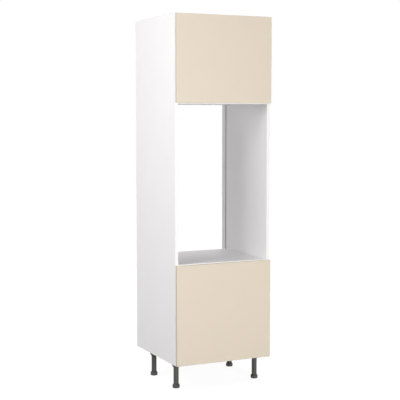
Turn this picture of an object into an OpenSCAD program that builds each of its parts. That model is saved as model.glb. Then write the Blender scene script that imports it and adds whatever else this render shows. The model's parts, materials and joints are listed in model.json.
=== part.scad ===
// Tall kitchen housing unit for a built-in double oven.
// Origin on the floor under the middle of the unit; +Z up, doors towards -Y.

/* [Carcass] */
// Overall width across the side panels
unit_w = 600; // [500:1:700]
// Height of the carcass, without its legs
carcass_h = 1970; // [1850:1:2150]
// Depth of the carcass, without its doors
carcass_d = 570; // [520:1:620]
// Thickness of the carcass boards
panel_t = 18; // [16:1:22]
// Thickness of the edging glued on the front edges of the boards
edging_t = 1; // [0.5:0.1:2]
// Clear height inside the lower cupboard
lower_clear_h = 538.5; // [450:0.5:600]
// Clear height of the open oven bay
bay_h = 898; // [850:1:920]
// Thickness of the back panels
back_t = 8; // [6:0.5:10]
// Free depth behind the back panels
void_d = 47; // [35:1:60]
// Depth of the grooves that hold the back panels
groove_depth = 8; // [5:0.5:10]
// Play of a back panel in its grooves
groove_play = 0.4; // [0.2:0.1:0.8]

/* [Doors] */
// Thickness of the doors
door_t = 18; // [16:0.5:22]
// Gap between a closed door and the carcass
door_gap = 2; // [1.5:0.1:2.5]
// Gap from each side of a door to the outer side of the carcass
door_side_gap = 1.5; // [1:0.1:2]
// Height of shelf edge that shows above the lower door
lower_reveal = 4.5; // [2:0.5:8]
// Height from the bay's ceiling to the upper door
upper_reveal = 5.5; // [2:0.5:8]
// Gap from the top of the upper door to the top of the carcass
top_reveal = 2; // [1:0.5:4]
// Distance from a hinge's middle to the end of its door
hinge_inset = 100; // [80:1:120]
// Diameter of the soft pads on the back of the doors
bumper_d = 8; // [6:0.5:10]
// Thickness of the soft pads
bumper_t = 1.6; // [1:0.1:1.6]

/* [Hinges] */
// Diameter of the cup hole in the door
cup_hole_d = 35; // [34:0.5:36]
// Depth of the cup hole
cup_hole_depth = 12.8; // [12.6:0.1:13.2]
// Board left between the cup hole and the edge of the door
cup_edge_gap = 4; // [4:0.5:5]
// Wall of the hinge cup
cup_wall = 0.8; // [0.6:0.1:1]
// Distance between the two screws of a cup
cup_screw_pitch = 45; // [43:1:48]
// Diameter of the hinge pins
hinge_pin_d = 3; // [2.6:0.1:3.2]
// Thickness of the cranked lever
lever_t = 1.8; // [1.4:0.1:1.9]
// Width of the cranked lever
lever_w = 10; // [8:0.2:10.4]
// Sheet thickness of the hinge arm
arm_t = 1.2; // [1:0.1:1.5]
// Height of the mounting plate
plate_h = 11; // [10:0.5:12]
// Length of the mounting plate's rib and of the arm on it
arm_seat_l = 36; // [34:1:44]
// Distance between the two screws of a mounting plate
plate_screw_pitch = 32; // [30:1:34]
// Distance from the carcass front to the screws and front shelf pins
system_setback = 37; // [36:0.5:38]

/* [Shelves and fittings] */
// Thickness of the loose shelves
shelf_t = 18; // [16:1:22]
// Distance from the carcass front to the front of a loose shelf
shelf_setback = 20; // [5:1:40]
// Gap at each end and at the back of a loose shelf
shelf_gap = 2; // [1.6:0.1:3]
// Pitch of the shelf pin holes
hole_pitch = 32; // [25:1:40]
// Shelf pin holes in each row
hole_count = 5; // [3:2:7]
// Diameter of the shelf pins
shelf_pin_d = 5; // [4:0.5:6]
// Distance from the rear fittings to the back panel's groove
rear_setback = 60; // [50:1:80]
// Diameter of a cam lock
cam_d = 15; // [14:0.5:16]
// Height of a cam lock
cam_h = 12.5; // [12:0.5:13]
// Distance from the end of a board to the middle of its cam lock
cam_inset = 34; // [30:1:36]
// Diameter of the shank of a cam bolt
cam_bolt_d = 7; // [6:0.5:7]
// Diameter of a wooden dowel
dowel_d = 8; // [6:0.5:9]
// Length of a wooden dowel
dowel_l = 30; // [26:1:35]
// Distance from a cam lock to the dowel beside it
dowel_offset = 32; // [24:1:40]
// Distance between the outer screws of a back panel
back_screw_span = 400; // [300:10:480]
// Height of a wall bracket
bracket_h = 40; // [32:1:60]
// Length of each leg of a wall bracket
bracket_l = 30; // [26:1:34]
// Sheet thickness of a wall bracket
bracket_t = 2; // [1.5:0.5:3]
// Distance from the top panel down to the middle of a wall bracket
bracket_drop = 60; // [40:1:120]
// Diameter of the wall screw hole in a wall bracket
wall_hole_d = 5.5; // [4.5:0.5:7]

/* [Legs] */
// Height of the legs with the feet screwed in
leg_h = 150; // [140:1:180]
// Diameter of a leg tube
tube_d = 30; // [28:1:34]
// Wall thickness of a leg tube
tube_wall = 2.5; // [2:0.5:3]
// Diameter of the flange at the top of a leg
flange_d = 58; // [56:1:66]
// Height of the flared socket at the top of a leg
socket_h = 30; // [24:1:34]
// Diameter of a foot
foot_d = 42; // [38:1:48]
// Height of a foot
foot_h = 24; // [20:1:30]
// Diameter of a foot's threaded stem
stem_d = 22; // [18:1:22]
// Length of a foot's threaded stem
stem_l = 46; // [42:1:55]
// Distance from a leg's middle to the outer side of the carcass
leg_side_inset = 45; // [40:1:80]
// Distance from the carcass front to the middle of the front legs
leg_front_inset = 92; // [60:1:120]
// Distance from the carcass rear to the middle of the rear legs
leg_rear_inset = 156.6; // [120:0.1:200]

/* [Hidden] */
$fn = 32;
cut = 1;                // how far a cut runs past the face it opens
slip = 0.05;            // radial clearance of a turning or sliding fit
seat = 0.1;             // clearance of a piece that lies in its seat
running_gap = 0.3;      // gap between pieces that move past each other

white = [0.94, 0.94, 0.94];
cream = [0.89, 0.83, 0.75];
cream_edge = [0.77, 0.74, 0.68];
nickel = [0.76, 0.76, 0.75];
zinc = [0.62, 0.62, 0.60];
black_plastic = [0.28, 0.28, 0.27];
beech = [0.80, 0.66, 0.48];
clear_plastic = [0.85, 0.87, 0.88];

// Planes of the carcass
inner_x = unit_w / 2 - panel_t;
unit_d = carcass_d + door_gap + door_t;
door_front = -unit_d / 2;
door_back = door_front + door_t;
carcass_front = door_back + door_gap;
carcass_rear = unit_d / 2;
groove_w = back_t + groove_play;
groove_rear = carcass_rear - void_d;
groove_front = groove_rear - groove_w;
back_front = groove_front + groove_play / 2;
back_rear = back_front + back_t;
carcass_bottom = leg_h;
carcass_top = leg_h + carcass_h;
bottom_face = carcass_bottom + panel_t;
lower_shelf_z = bottom_face + lower_clear_h;
bay_floor = lower_shelf_z + panel_t;
upper_shelf_z = bay_floor + bay_h;
upper_floor = upper_shelf_z + panel_t;
top_z = carcass_top - panel_t;
board_levels = [carcass_bottom, lower_shelf_z, upper_shelf_z, top_z];

// Doors: [bottom, top] of each
lower_door_span = [carcass_bottom, bay_floor - lower_reveal];
upper_door_span = [upper_shelf_z + upper_reveal, carcass_top - top_reveal];
door_edge_x = unit_w / 2 - door_side_gap;
bumper_inset = panel_t / 2 - door_side_gap;
bumper_end_inset = 30;
function hinge_levels(span) = [span[0] + hinge_inset, span[1] - hinge_inset];
all_hinge_levels = concat(hinge_levels(lower_door_span), hinge_levels(upper_door_span));

// Hinge, in its own directions: x from the side panel's inner face towards the
// middle of the unit, y from the carcass front to the rear, z from the hinge's middle
door_plane = -door_gap;
overlay = panel_t - door_side_gap;
cup_x = -overlay + cup_edge_gap + cup_hole_d / 2;
cup_r = cup_hole_d / 2 - seat;
cup_inner_r = cup_r - cup_wall;
cup_bottom = door_plane - cup_hole_depth + 0.2;
cup_floor = cup_bottom + cup_wall;
pin_r = hinge_pin_d / 2;
eye_r = pin_r + 1.4;
cup_pivot_offset = 11.8;
cup_pivot_depth = 8.3;
cup_pivot = [cup_x - cup_pivot_offset, door_plane - cup_pivot_depth];
arm_pivot_rise = 25;
arm_pivot_setback = 12;
arm_pivot = [arm_pivot_rise, arm_pivot_setback];
heel_offset = 2.2;
heel_depth = 10.45;
lever_heel = [cup_x - heel_offset, door_plane - heel_depth];
boss_gap = 0.8;
boss_z = lever_w / 2 + boss_gap;
cup_pin_l = 21;
flange_t = 1.2;
flange_w = 15;
cup_screw_offset = 9.5;
cup_screw_x = cup_x + cup_screw_offset;
cup_screw_d = 3.6;
cup_screw_l = 11;
cup_screw_head_d = 6.6;
cup_screw_head_h = 0.6;
arm_inner_w = lever_w + 1.2;
arm_w = arm_inner_w + 2 * arm_t;
arm_front_overhang = 15;
arm_front = system_setback - arm_front_overhang;
arm_rear = arm_front + arm_seat_l;
cheek_low = 4;
arm_screw_offset = 3;
arm_screw_pitch = 12;
arm_screw_y = [system_setback + arm_screw_offset,
               system_setback + arm_screw_offset + arm_screw_pitch];
wing_t = 2.5;
wing_r = 6;
arm_screw_d = 4;
arm_screw_l = 8;
arm_screw_head_d = 7.5;
arm_screw_head_h = 2.2;
web_setback = 8;
euro_screw_d = 5;
euro_screw_l = 12;
euro_screw_head_d = 8;
euro_screw_head_h = 1.6;

// Loose shelves and their pins
lower_shelf_level = (bottom_face + lower_shelf_z) / 2;
upper_shelf_level = (upper_floor + top_z) / 2;
pin_drop = shelf_pin_d / 2 + seat;
pin_hole_depth = 10;
pin_out = 8;
collar_t = 1.2;
collar_r = shelf_pin_d / 2 + 2;
pin_rows = [carcass_front + system_setback, groove_front - rear_setback];

// Cam locks and dowels
cam_rows = [carcass_front + rear_setback, groove_front - rear_setback];
dowel_rows = [cam_rows[0] + dowel_offset, cam_rows[1] - dowel_offset];
cam_x = inner_x - cam_inset;
bolt_thread_d = 5;
bolt_thread_l = 11;
dowel_in_side = 10;

// Screws of the back panels and wall brackets
back_screw_d = 3.2;
back_screw_l = 28;
back_screw_x = [-back_screw_span / 2, 0, back_screw_span / 2];
back_lap = 4;
bracket_z = top_z - bracket_drop;
bracket_screw_y = carcass_rear - bracket_l / 2 - 3;
bracket_screw_z = bracket_h / 4;
bracket_screw_d = 4;
bracket_screw_l = 16;
wall_hole_x = inner_x - bracket_l / 2;

// Legs
leg_x = unit_w / 2 - leg_side_inset;
leg_rows = [carcass_front + leg_front_inset, carcass_rear - leg_rear_inset];
tube_top = carcass_bottom - socket_h;
tube_bottom = foot_h + running_gap;
spigot_r = tube_d / 2 - 0.5;
plate_t = 4;
rim_t = 6;
nut_h = 15;
leg_screw_d = 4;
leg_screw_l = 15;
leg_screw_pitch = 32;
foot_round = 5;
grip_count = 20;

// A block between two corners
module block(low, high) {
    translate(low)
        cube(high - low);
}

// Round bars along each axis, from one coordinate to another
module bar_x(d, from, to) {
    translate([from, 0, 0])
        rotate([0, 90, 0])
            cylinder(d = d, h = to - from);
}

module bar_y(d, from, to) {
    translate([0, from, 0])
        rotate([-90, 0, 0])
            cylinder(d = d, h = to - from);
}

module bar_z(d, from, to) {
    translate([0, 0, from])
        cylinder(d = d, h = to - from);
}

// Puts a copy on the left and a mirrored one on the right
module both_sides() {
    children();
    mirror([1, 0, 0])
        children();
}

// A hinge's own directions, at each level in the list
module at_hinges(levels) {
    for (z = levels)
        translate([inner_x, carcass_front, z])
            mirror([1, 0, 0])
                children();
}

// Cross-shaped driver recess, cut down from z = 0
module driver_recess(size) {
    for (turn = [0, 90])
        rotate([0, 0, turn])
            translate([-size / 2, -size / 8, -size / 3])
                cube([size, size / 4, size / 3 + cut]);
}

// Screw along -Z with its head's seat at z = 0
module screw(d, l, head_d, head_h) {
    difference() {
        union() {
            bar_z(d, -l, head_h / 2);
            bar_z(head_d, 0, head_h);
        }
        translate([0, 0, head_h])
            driver_recess(head_d * 0.55);
    }
}

// Groove for a back panel, along Z in a side panel's inner face
module side_groove() {
    block([inner_x - cut, groove_front, carcass_bottom - cut],
          [inner_x + groove_depth, groove_rear, carcass_top + cut]);
}

// Holes in one side panel for the fittings of the fixed boards
module side_fitting_holes() {
    for (z = board_levels)
        translate([0, 0, z + panel_t / 2]) {
            for (y = cam_rows)
                translate([0, y, 0])
                    bar_x(bolt_thread_d, inner_x - cut, inner_x + bolt_thread_l);
            for (y = dowel_rows)
                translate([0, y, 0])
                    bar_x(dowel_d, inner_x - cut, inner_x + dowel_in_side + cut);
        }
}

module shelf_pin_holes() {
    for (level = [lower_shelf_level, upper_shelf_level], y = pin_rows)
        for (i = [-(hole_count - 1) / 2 : (hole_count - 1) / 2])
            translate([0, y, level - pin_drop + i * hole_pitch])
                bar_x(shelf_pin_d, inner_x - cut, inner_x + pin_hole_depth);
}

module bracket_screw_holes() {
    for (side = [-1, 1])
        translate([0, bracket_screw_y, bracket_z + side * bracket_screw_z])
            bar_x(bracket_screw_d, inner_x - cut, inner_x + bracket_screw_l - bracket_t);
}

module plate_screw_holes() {
    at_hinges(all_hinge_levels)
        for (side = [-1, 1])
            translate([0, system_setback, side * plate_screw_pitch / 2])
                bar_x(euro_screw_d, -euro_screw_l, cut);
}

// Side panel on the +X side
module side_board() {
    difference() {
        block([inner_x, carcass_front + edging_t, carcass_bottom],
              [unit_w / 2, carcass_rear, carcass_top]);
        side_groove();
        side_fitting_holes();
        shelf_pin_holes();
        bracket_screw_holes();
    }
}

module left_side_panel() {
    color(white)
        mirror([1, 0, 0])
            side_board();
}

module right_side_panel() {
    color(white)
        difference() {
            side_board();
            plate_screw_holes();
        }
}

// Holes in a fixed board, whose underside is at z, for its own fittings
module board_fitting_holes(z) {
    both_sides()
        translate([0, 0, z + panel_t / 2]) {
            for (y = cam_rows)
                translate([0, y, 0]) {
                    bar_x(cam_bolt_d + 2 * seat, cam_x, inner_x + cut);
                    translate([cam_x, 0, 0])
                        bar_z(cam_d + 2 * seat, cam_low(z), cam_high(z));
                }
            for (y = dowel_rows)
                translate([0, y, 0])
                    bar_x(dowel_d, inner_x - (dowel_l - dowel_in_side) - cut, inner_x + cut);
        }
}

// The lower oven shelf hides its cam locks underneath, the other boards on top
function cam_from_top(z) = z != lower_shelf_z;
function cam_low(z) = cam_from_top(z) ? panel_t / 2 - cam_h : -panel_t / 2 - cut;
function cam_high(z) = cam_from_top(z) ? panel_t / 2 + cut : cam_h - panel_t / 2;

module fixed_board(z, rear) {
    difference() {
        block([-inner_x, carcass_front + edging_t, z], [inner_x, rear, z + panel_t]);
        board_fitting_holes(z);
    }
}

module back_groove(low, high) {
    block([-inner_x - cut, groove_front, low], [inner_x + cut, groove_rear, high]);
}

module leg_screw_places() {
    for (side = [-1, 1], y = leg_rows, a = [-1, 1], b = [-1, 1])
        translate([side * leg_x + a * leg_screw_pitch / 2, y + b * leg_screw_pitch / 2, 0])
            children();
}

module top_panel() {
    color(white)
        difference() {
            fixed_board(top_z, carcass_rear);
            back_groove(top_z - cut, top_z + groove_depth);
        }
}

module bottom_panel() {
    color(white)
        difference() {
            fixed_board(carcass_bottom, carcass_rear);
            back_groove(bottom_face - groove_depth, bottom_face + cut);
            leg_screw_places()
                bar_z(leg_screw_d, carcass_bottom - cut, carcass_bottom + leg_screw_l - plate_t);
        }
}

// Pilot holes for the back panel's screws in a shelf's rear edge
module back_screw_pilots(z) {
    for (x = back_screw_x)
        translate([x, 0, z + panel_t / 2])
            bar_y(back_screw_d, back_rear - back_screw_l, groove_front + cut);
}

module lower_oven_shelf() {
    color(white)
        difference() {
            fixed_board(lower_shelf_z, groove_front);
            back_screw_pilots(lower_shelf_z);
        }
}

module upper_oven_shelf() {
    color(white)
        difference() {
            fixed_board(upper_shelf_z, groove_front);
            back_screw_pilots(upper_shelf_z);
        }
}

// Back panel between two heights, screwed to the shelf at screw_z
module back_panel(low, high, screw_z) {
    reach = inner_x + groove_depth - running_gap;
    difference() {
        block([-reach, back_front, low], [reach, back_rear, high]);
        for (x = back_screw_x)
            translate([x, 0, screw_z])
                bar_y(back_screw_d, back_front - cut, back_rear + cut);
    }
}

module lower_back_panel() {
    color(white)
        back_panel(bottom_face - groove_depth + running_gap, bay_floor - back_lap,
                   lower_shelf_z + panel_t / 2);
}

module upper_back_panel() {
    color(white)
        back_panel(upper_shelf_z + back_lap, top_z + groove_depth - running_gap,
                   upper_shelf_z + panel_t / 2);
}

module loose_shelf(level) {
    block([-inner_x + shelf_gap, carcass_front + shelf_setback, level],
          [inner_x - shelf_gap, back_front - shelf_gap, level + shelf_t]);
}

module lower_loose_shelf() {
    color(white)
        loose_shelf(lower_shelf_level);
}

module upper_loose_shelf() {
    color(white)
        loose_shelf(upper_shelf_level);
}

// Strips on the front edges of the side panels and of the four fixed boards
module carcass_edging() {
    color(white) {
        both_sides()
            block([inner_x, carcass_front, carcass_bottom],
                  [unit_w / 2, carcass_front + edging_t, carcass_top]);
        for (z = board_levels)
            block([-inner_x, carcass_front, z],
                  [inner_x, carcass_front + edging_t, z + panel_t]);
    }
}

module shelf_pin() {
    bar_x(shelf_pin_d, -pin_out, pin_hole_depth - cut);
    bar_x(2 * collar_r, -collar_t, 0);
}

module shelf_pins() {
    color(nickel)
        both_sides()
            for (level = [lower_shelf_level, upper_shelf_level], y = pin_rows)
                translate([inner_x, y, level - pin_drop])
                    shelf_pin();
}

// Round cam lock with a pocket for the bolt's head and a driver recess
module cam_lock() {
    difference() {
        bar_z(cam_d, 0, cam_h);
        translate([0, 0, cam_h - panel_t / 2])
            bar_x(cam_bolt_d + 2 * seat, -cam_d / 4, cam_d);
        translate([0, 0, cam_h])
            driver_recess(cam_d / 2);
    }
}

module cam_locks() {
    color(zinc)
        both_sides()
            for (z = board_levels, y = cam_rows)
                translate([cam_x, y, z + panel_t / 2])
                    mirror([0, 0, cam_from_top(z) ? 0 : 1])
                        translate([0, 0, panel_t / 2 - cam_h])
                            cam_lock();
}

// Bolt from the side panel into the middle of its cam lock
module cam_bolt() {
    neck_d = cam_bolt_d - 3;
    head_l = 3;
    bar_x(bolt_thread_d, -cut, bolt_thread_l);
    bar_x(cam_bolt_d, -(cam_inset - cam_d / 2), 0);
    bar_x(neck_d, -cam_inset, -(cam_inset - cam_d / 2) + cut);
    bar_x(cam_bolt_d - seat, -cam_inset - head_l / 2, -cam_inset + head_l / 2);
}

module cam_bolts() {
    color(nickel)
        both_sides()
            for (z = board_levels, y = cam_rows)
                translate([inner_x, y, z + panel_t / 2])
                    cam_bolt();
}

module wood_dowels() {
    color(beech)
        both_sides()
            for (z = board_levels, y = dowel_rows)
                translate([0, y, z + panel_t / 2])
                    bar_x(dowel_d, inner_x + dowel_in_side - dowel_l, inner_x + dowel_in_side);
}

module back_panel_screws() {
    head_h = 2;
    color(nickel)
        for (z = [lower_shelf_z, upper_shelf_z], x = back_screw_x)
            translate([x, back_rear, z + panel_t / 2])
                rotate([-90, 0, 0])
                    screw(back_screw_d, back_screw_l, back_screw_d * 2, head_h);
}

// Angle bracket in the free space behind the upper back panel
module wall_bracket() {
    difference() {
        union() {
            block([inner_x - bracket_t, carcass_rear - bracket_l, bracket_z - bracket_h / 2],
                  [inner_x, carcass_rear, bracket_z + bracket_h / 2]);
            block([inner_x - bracket_l, carcass_rear - bracket_t, bracket_z - bracket_h / 2],
                  [inner_x, carcass_rear, bracket_z + bracket_h / 2]);
        }
        for (side = [-1, 1])
            translate([0, bracket_screw_y, bracket_z + side * bracket_screw_z])
                bar_x(bracket_screw_d + 2 * seat, inner_x - bracket_t - cut, inner_x + cut);
        translate([wall_hole_x, 0, bracket_z])
            bar_y(wall_hole_d, carcass_rear - bracket_t - cut, carcass_rear + cut);
    }
}

module wall_brackets() {
    color(zinc)
        both_sides()
            wall_bracket();
}

module wall_bracket_screws() {
    head_h = 2;
    color(nickel)
        both_sides()
            for (side = [-1, 1])
                translate([inner_x - bracket_t, bracket_screw_y,
                           bracket_z + side * bracket_screw_z])
                    rotate([0, -90, 0])
                        screw(bracket_screw_d, bracket_screw_l, bracket_screw_d * 2, head_h);
}

// Doors
module cup_holes(span) {
    at_hinges(hinge_levels(span)) {
        translate([cup_x, 0, 0])
            bar_y(cup_hole_d, door_plane - cup_hole_depth, door_plane + cut);
        for (side = [-1, 1])
            translate([cup_screw_x, 0, side * cup_screw_pitch / 2])
                bar_y(cup_screw_d, door_plane - cup_screw_l, door_plane + cut);
    }
}

module door_board(span) {
    difference() {
        block([-door_edge_x + edging_t, door_front, span[0] + edging_t],
              [door_edge_x - edging_t, door_back, span[1] - edging_t]);
        cup_holes(span);
    }
}

module door_edging(span) {
    difference() {
        block([-door_edge_x, door_front, span[0]], [door_edge_x, door_back, span[1]]);
        block([-door_edge_x + edging_t, door_front - cut, span[0] + edging_t],
              [door_edge_x - edging_t, door_back + cut, span[1] - edging_t]);
    }
}

module door_bumpers(span) {
    for (z = [span[0] + bumper_end_inset, span[1] - bumper_end_inset])
        translate([-door_edge_x + bumper_inset, 0, z])
            bar_y(bumper_d, door_back, door_back + bumper_t);
}

module lower_door() {
    color(cream)
        door_board(lower_door_span);
}

module lower_door_edging() {
    color(cream_edge)
        door_edging(lower_door_span);
}

module lower_door_bumpers() {
    color(clear_plastic)
        door_bumpers(lower_door_span);
}

module upper_door() {
    color(cream)
        door_board(upper_door_span);
}

module upper_door_edging() {
    color(cream_edge)
        door_edging(upper_door_span);
}

module upper_door_bumpers() {
    color(clear_plastic)
        door_bumpers(upper_door_span);
}

// Hinge cup: a round pot let into the door, with bosses for its pin and screwed wings
module hinge_cup() {
    difference() {
        union() {
            difference() {
                translate([cup_x, 0, 0])
                    bar_y(2 * cup_r, cup_bottom, door_plane);
                translate([cup_x, 0, 0])
                    bar_y(2 * cup_inner_r, cup_floor, door_plane + cut);
            }
            intersection() {
                translate([cup_x, 0, 0])
                    bar_y(2 * cup_r, cup_floor - cup_wall / 2, door_plane);
                for (side = [0, 1])
                    mirror([0, 0, side])
                        block([cup_pivot[0] - eye_r - 0.5, cup_floor - cup_wall / 2, boss_z],
                              [cup_pivot[0] + eye_r + 0.5, cup_pivot[1] + eye_r, cup_r]);
            }
            difference() {
                cup_wings();
                translate([cup_x, 0, 0])
                    bar_y(2 * cup_inner_r, door_plane - cut, door_plane + flange_t + cut);
            }
        }
        translate([cup_pivot[0], cup_pivot[1], 0])
            bar_z(2 * pin_r, -cup_pin_l / 2, cup_pin_l / 2);
        for (side = [-1, 1])
            translate([cup_screw_x, 0, side * cup_screw_pitch / 2])
                bar_y(cup_screw_d + 2 * seat, door_plane - cut, door_plane + flange_t + cut);
    }
}

module cup_wings() {
    wing_end = cup_screw_pitch / 2;
    block([cup_screw_x - flange_w / 2, door_plane, -wing_end],
          [cup_screw_x + flange_w / 2, door_plane + flange_t, wing_end]);
    for (side = [-1, 1])
        translate([cup_screw_x, 0, side * wing_end])
            bar_y(flange_w, door_plane, door_plane + flange_t);
}

module hinge_cups(span) {
    color(nickel)
        at_hinges(hinge_levels(span))
            hinge_cup();
}

module lower_hinge_cups() {
    hinge_cups(lower_door_span);
}

module upper_hinge_cups() {
    hinge_cups(upper_door_span);
}

module cup_screws(span) {
    color(zinc)
        at_hinges(hinge_levels(span))
            for (side = [-1, 1])
                translate([cup_screw_x, door_plane + flange_t, side * cup_screw_pitch / 2])
                    rotate([-90, 0, 0])
                        screw(cup_screw_d, cup_screw_l, cup_screw_head_d, cup_screw_head_h);
}

module lower_cup_screws() {
    cup_screws(lower_door_span);
}

module upper_cup_screws() {
    cup_screws(upper_door_span);
}

module cup_pins(span) {
    color(zinc)
        at_hinges(hinge_levels(span))
            translate([cup_pivot[0], cup_pivot[1], 0])
                bar_z(2 * pin_r, -cup_pin_l / 2, cup_pin_l / 2);
}

module lower_cup_pins() {
    cup_pins(lower_door_span);
}

module upper_cup_pins() {
    cup_pins(upper_door_span);
}

// Unit vector square to the run between two points of a plan
function side_of(from, to) = [from[1] - to[1], to[0] - from[0]] / norm(to - from);

// Cranked lever between the arm's pin and the cup's pin, with a mitred heel
module hinge_lever() {
    half = lever_t / 2;
    out_arm = half * side_of(arm_pivot, lever_heel);
    out_cup = half * side_of(lever_heel, cup_pivot);
    mitre = (out_arm + out_cup) / (1 + out_arm * out_cup / (half * half));
    translate([0, 0, -lever_w / 2])
        linear_extrude(lever_w)
            difference() {
                union() {
                    polygon([
                        arm_pivot + out_arm,
                        lever_heel + mitre,
                        cup_pivot + out_cup,
                        cup_pivot - out_cup,
                        lever_heel - mitre,
                        arm_pivot - out_arm
                    ]);
                    for (pivot = [arm_pivot, cup_pivot])
                        translate(pivot)
                            circle(r = eye_r);
                }
                for (pivot = [arm_pivot, cup_pivot])
                    translate(pivot)
                        circle(r = pin_r + slip);
            }
}

module hinge_levers(span) {
    color(nickel)
        at_hinges(hinge_levels(span))
            hinge_lever();
}

module lower_hinge_levers() {
    hinge_levers(lower_door_span);
}

module upper_hinge_levers() {
    hinge_levers(upper_door_span);
}

// Cheek of the arm in plan, from its seat on the plate to the pin
module arm_cheek() {
    nose_r = eye_r + 0.5;
    lean = nose_r / sqrt(2);
    difference() {
        union() {
            polygon([
                [cheek_low, arm_rear],
                [plate_h + arm_t, arm_rear],
                [plate_h + arm_t, arm_front + web_setback],
                [arm_pivot[0] + lean, arm_pivot[1] + lean],
                [arm_pivot[0] - lean, arm_pivot[1] - lean],
                [cheek_low, arm_front + 2]
            ]);
            translate(arm_pivot)
                circle(r = nose_r);
        }
        translate(arm_pivot)
            circle(r = pin_r);
    }
}

// Channel-shaped arm that sits on the mounting plate's rib
module hinge_arm() {
    difference() {
        union() {
            for (low = [-arm_w / 2, arm_inner_w / 2])
                translate([0, 0, low])
                    linear_extrude(arm_t)
                        arm_cheek();
            block([plate_h, arm_front + web_setback, -arm_w / 2],
                  [plate_h + arm_t, arm_rear, arm_w / 2]);
        }
        for (y = arm_screw_y)
            translate([0, y, 0])
                bar_x(arm_screw_d + 2 * seat, plate_h - cut, plate_h + arm_t + cut);
    }
}

module hinge_arms() {
    color(nickel)
        at_hinges(all_hinge_levels)
            hinge_arm();
}

module hinge_arm_pins() {
    reach = arm_w / 2 + 0.4;
    color(zinc)
        at_hinges(all_hinge_levels)
            translate([arm_pivot[0], arm_pivot[1], 0])
                bar_z(2 * pin_r, -reach, reach);
}

module hinge_arm_screws() {
    color(zinc)
        at_hinges(all_hinge_levels)
            for (y = arm_screw_y)
                translate([plate_h + arm_t, y, 0])
                    rotate([0, 90, 0])
                        screw(arm_screw_d, arm_screw_l, arm_screw_head_d, arm_screw_head_h);
}

// Cross-shaped plate on the side panel: two wings and the rib that carries the arm
module hinge_mounting_plate() {
    wing_end = plate_screw_pitch / 2 + 3;
    difference() {
        union() {
            block([0, system_setback - wing_r, -wing_end],
                  [wing_t, system_setback + wing_r, wing_end]);
            for (side = [-1, 1])
                translate([0, system_setback, side * wing_end])
                    bar_x(2 * wing_r, 0, wing_t);
            block([0, arm_front, -arm_inner_w / 2 + running_gap],
                  [plate_h, arm_rear, arm_inner_w / 2 - running_gap]);
        }
        for (y = arm_screw_y)
            translate([0, y, 0])
                bar_x(arm_screw_d, plate_h + arm_t - arm_screw_l, plate_h + cut);
        for (side = [-1, 1])
            translate([0, system_setback, side * plate_screw_pitch / 2])
                bar_x(euro_screw_d + 2 * seat, -cut, wing_t + cut);
    }
}

module hinge_mounting_plates() {
    color(nickel)
        at_hinges(all_hinge_levels)
            hinge_mounting_plate();
}

module mounting_plate_screws() {
    color(zinc)
        at_hinges(all_hinge_levels)
            for (side = [-1, 1])
                translate([wing_t, system_setback, side * plate_screw_pitch / 2])
                    rotate([0, 90, 0])
                        screw(euro_screw_d, euro_screw_l + wing_t - cut,
                              euro_screw_head_d, euro_screw_head_h);
}

// Legs
module at_leg(side, row) {
    translate([side * leg_x, leg_rows[row], 0])
        children();
}

// Flared socket under the bottom panel, with pockets for its four screws
module leg_socket(side, row) {
    collar_d = tube_d + 5;
    color(black_plastic)
        at_leg(side, row)
            difference() {
                rotate_extrude($fn = 64)
                    polygon([
                        [0, carcass_bottom],
                        [flange_d / 2, carcass_bottom],
                        [flange_d / 2, carcass_bottom - rim_t],
                        [collar_d / 2, tube_top],
                        [spigot_r + slip, tube_top],
                        [spigot_r + slip, carcass_bottom - plate_t],
                        [0, carcass_bottom - plate_t]
                    ]);
                for (a = [-1, 1], b = [-1, 1])
                    translate([a * leg_screw_pitch / 2, b * leg_screw_pitch / 2, 0]) {
                        bar_z(leg_screw_d + 2 * seat, tube_top, carcass_bottom + cut);
                        bar_z(leg_screw_d * 2, tube_top - cut, carcass_bottom - plate_t);
                    }
            }
}

// Leg tube: a spigot up in the socket, and a threaded collar for the foot's stem below
module leg_tube(side, row) {
    bore_r = tube_d / 2 - tube_wall;
    tip = carcass_bottom - plate_t - running_gap;
    color(black_plastic)
        at_leg(side, row)
            rotate_extrude($fn = 64)
                polygon([
                    [stem_d / 2 + slip, tube_bottom],
                    [tube_d / 2, tube_bottom],
                    [tube_d / 2, tube_top],
                    [spigot_r, tube_top],
                    [spigot_r, tip],
                    [bore_r, tip],
                    [bore_r, tube_bottom + nut_h],
                    [stem_d / 2 + slip, tube_bottom + nut_h]
                ]);
}

// Foot: a gripped cap with a rounded lower rim, and the stem that screws up into the tube
module foot(side, row) {
    foot_r = foot_d / 2;
    shoulder = 6;
    rim = [for (a = [-90 : 15 : 0])
        [foot_r - foot_round + foot_round * cos(a), foot_round + foot_round * sin(a)]];
    color(black_plastic)
        at_leg(side, row)
            difference() {
                rotate_extrude($fn = 64)
                    polygon(concat([[0, 0]], rim, [
                        [foot_r, foot_h - shoulder],
                        [tube_d / 2 + 1, foot_h],
                        [stem_d / 2, foot_h],
                        [stem_d / 2, foot_h + stem_l - 1],
                        [stem_d / 2 - 1, foot_h + stem_l],
                        [0, foot_h + stem_l]
                    ]));
                for (i = [0 : grip_count - 1])
                    rotate([0, 0, i * 360 / grip_count])
                        translate([foot_r + 0.6, 0, 0])
                            bar_z(3, foot_round + 2, foot_h - shoulder - 2);
            }
}

module front_left_leg_socket() {
    leg_socket(-1, 0);
}

module front_right_leg_socket() {
    leg_socket(1, 0);
}

module rear_left_leg_socket() {
    leg_socket(-1, 1);
}

module rear_right_leg_socket() {
    leg_socket(1, 1);
}

module front_left_leg_tube() {
    leg_tube(-1, 0);
}

module front_right_leg_tube() {
    leg_tube(1, 0);
}

module rear_left_leg_tube() {
    leg_tube(-1, 1);
}

module rear_right_leg_tube() {
    leg_tube(1, 1);
}

module front_left_foot() {
    foot(-1, 0);
}

module front_right_foot() {
    foot(1, 0);
}

module rear_left_foot() {
    foot(-1, 1);
}

module rear_right_foot() {
    foot(1, 1);
}

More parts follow.
